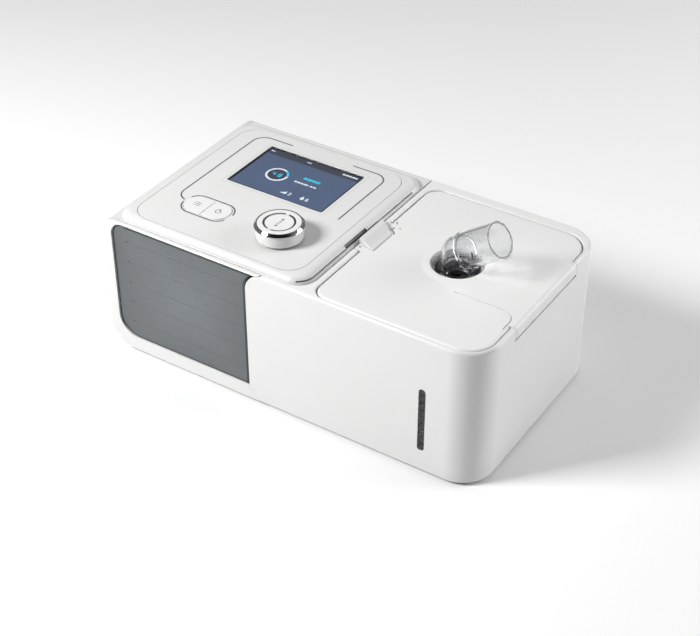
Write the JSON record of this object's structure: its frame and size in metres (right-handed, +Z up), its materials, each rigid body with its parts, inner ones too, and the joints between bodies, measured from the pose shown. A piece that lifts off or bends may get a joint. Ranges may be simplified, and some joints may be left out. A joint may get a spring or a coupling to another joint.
{
  "type": "bilevel ventilator with heated humidifier",
  "caption": "Tabletop bilevel ventilator: white case with control deck, knob and colour screen beside a hinged-lid heated humidifier with a clear swivel elbow.",
  "frame": {"origin": "centre of the footprint, on the surface that the feet stand on", "axes": "+X to the right along the case, -Y towards the front with the grey panel, +Z up"},
  "size_m": [0.265, 0.146, 0.1299],
  "materials": {
    "white_case": "satin white ABS",
    "fascia_white": "fine satin white",
    "key_white": "satin white key tops",
    "knob_white": "glossy white",
    "chrome": "bright plated ring",
    "grey_ring": "satin grey inlay",
    "dark_line": "satin dark grey inlay",
    "band_dark": "light grey band",
    "panel_grey": "fine-textured grey panel",
    "screen_glass": "polished cover lens",
    "display": "colour display",
    "foam": "open-cell foam",
    "filter_pad": "non-woven filter pad",
    "steel": "plain steel",
    "black_plastic": "moulded black",
    "circuit_board": "solder-resist green",
    "blower_plastic": "glass-filled moulding",
    "copper": "enamelled copper windings",
    "aluminium": "satin",
    "silicone": "soft silicone",
    "window_clear": "smoked clear window",
    "dark_gloss": "smoked glossy ring",
    "clear_elbow": "polished clear polycarbonate",
    "clear_tank": "clear tank plastic",
    "tank_steel": "stainless",
    "rubber_foot": "soft grey rubber"
  },
  "bodies": {
    "base": {"upper_case": "white_case", "lower_case": "white_case", "case_screws": "steel", "deck_band": "band_dark", "front_bezel": "white_case", "front_panel": "panel_grey", "fascia": "fascia_white", "fascia_trim": "dark_line", "screen_lens": "screen_glass", "screen_gasket": "foam", "display_module": "display", "encoder_body": "black_plastic", "control_board": "circuit_board", "main_board": "circuit_board", "power_board": "circuit_board", "speaker": "black_plastic", "blower_base": "blower_plastic", "blower_cover": "blower_plastic", "motor_bearings": "steel", "motor_stator": "copper", "motor_can": "aluminium", "blower_mounts": "silicone", "air_duct": "black_plastic", "flow_sensor": "black_plastic", "muffler_foam": "foam", "inlet_filter": "filter_pad", "filter_frame": "black_plastic", "door_pins": "steel", "dc_socket": "black_plastic", "card_socket": "black_plastic", "humidifier_case": "white_case", "level_window": "window_clear", "hinge_pins": "steel", "link_screws": "steel", "water_tank": "clear_tank", "tank_plate": "tank_steel", "tank_seal": "silicone", "tank_cover": "clear_tank", "duct_seal": "silicone", "heater_springs": "steel", "feet": "rubber_foot"},
    "filter_door": {"filter_door": "white_case"},
    "left_key": {"left_key": "key_white"},
    "right_key": {"right_key": "key_white"},
    "encoder_rotor": {"encoder_rotor": "black_plastic"},
    "knob": {"knob_body": "knob_white", "knob_ring": "chrome", "knob_cap": "knob_white", "knob_inner_ring": "grey_ring", "encoder_shaft": "steel"},
    "lid": {"lid": "white_case", "outlet_socket": "dark_gloss", "outlet_seal": "silicone", "latch_spring": "steel"},
    "latch": {"latch_tab": "white_case"},
    "elbow": {"elbow": "clear_elbow"},
    "blower_rotor": {"impeller": "blower_plastic", "motor_rotor": "steel"},
    "heater": {"heater_plate": "aluminium", "heater_carrier": "black_plastic"}
  },
  "joints": [
    {"name": "knob_turn", "type": "hinge", "parent": "base", "child": "encoder_rotor", "pos_m": [-0.0231, -0.0374, 0.089], "axis": [0, 0, 1], "continuous": true},
    {"name": "knob_press", "type": "slide", "parent": "encoder_rotor", "child": "knob", "axis": [0, 0, -1], "range_m": [0, 0.0008], "stiffness_N_per_m": 3000, "springref_m": -0.0004},
    {"name": "left_key_press", "type": "slide", "parent": "base", "child": "left_key", "axis": [0, 0, -1], "range_m": [0, 0.0006], "stiffness_N_per_m": 2500, "springref_m": -0.0003},
    {"name": "right_key_press", "type": "slide", "parent": "base", "child": "right_key", "axis": [0, 0, -1], "range_m": [0, 0.0006], "stiffness_N_per_m": 2500, "springref_m": -0.0003},
    {"name": "lid_hinge", "type": "hinge", "parent": "base", "child": "lid", "pos_m": [0.1309, 0.0008, 0.093], "axis": [0, 1, 0], "range_deg": [0, 100]},
    {"name": "latch_slide", "type": "slide", "parent": "lid", "child": "latch", "axis": [1, 0, 0], "range_m": [0, 0.002], "stiffness_N_per_m": 600, "springref_m": -0.001, "deforming": ["latch_spring"]},
    {"name": "elbow_swivel", "type": "hinge", "parent": "lid", "child": "elbow", "pos_m": [0.0753, -0.0002, 0.095], "axis": [0, 0, 1], "continuous": true},
    {"name": "blower_spin", "type": "hinge", "parent": "base", "child": "blower_rotor", "pos_m": [-0.042, 0.002, 0.02], "axis": [0, 0, 1], "continuous": true},
    {"name": "filter_door_hinge", "type": "hinge", "parent": "base", "child": "filter_door", "pos_m": [-0.068, 0.071, 0.024], "axis": [-1, 0, 0], "range_deg": [0, 95]},
    {"name": "heater_float", "type": "slide", "parent": "base", "child": "heater", "axis": [0, 0, -1], "range_m": [0, 0.0015], "stiffness_N_per_m": 3000, "springref_m": -0.001, "deforming": ["heater_springs"]}
  ]
}
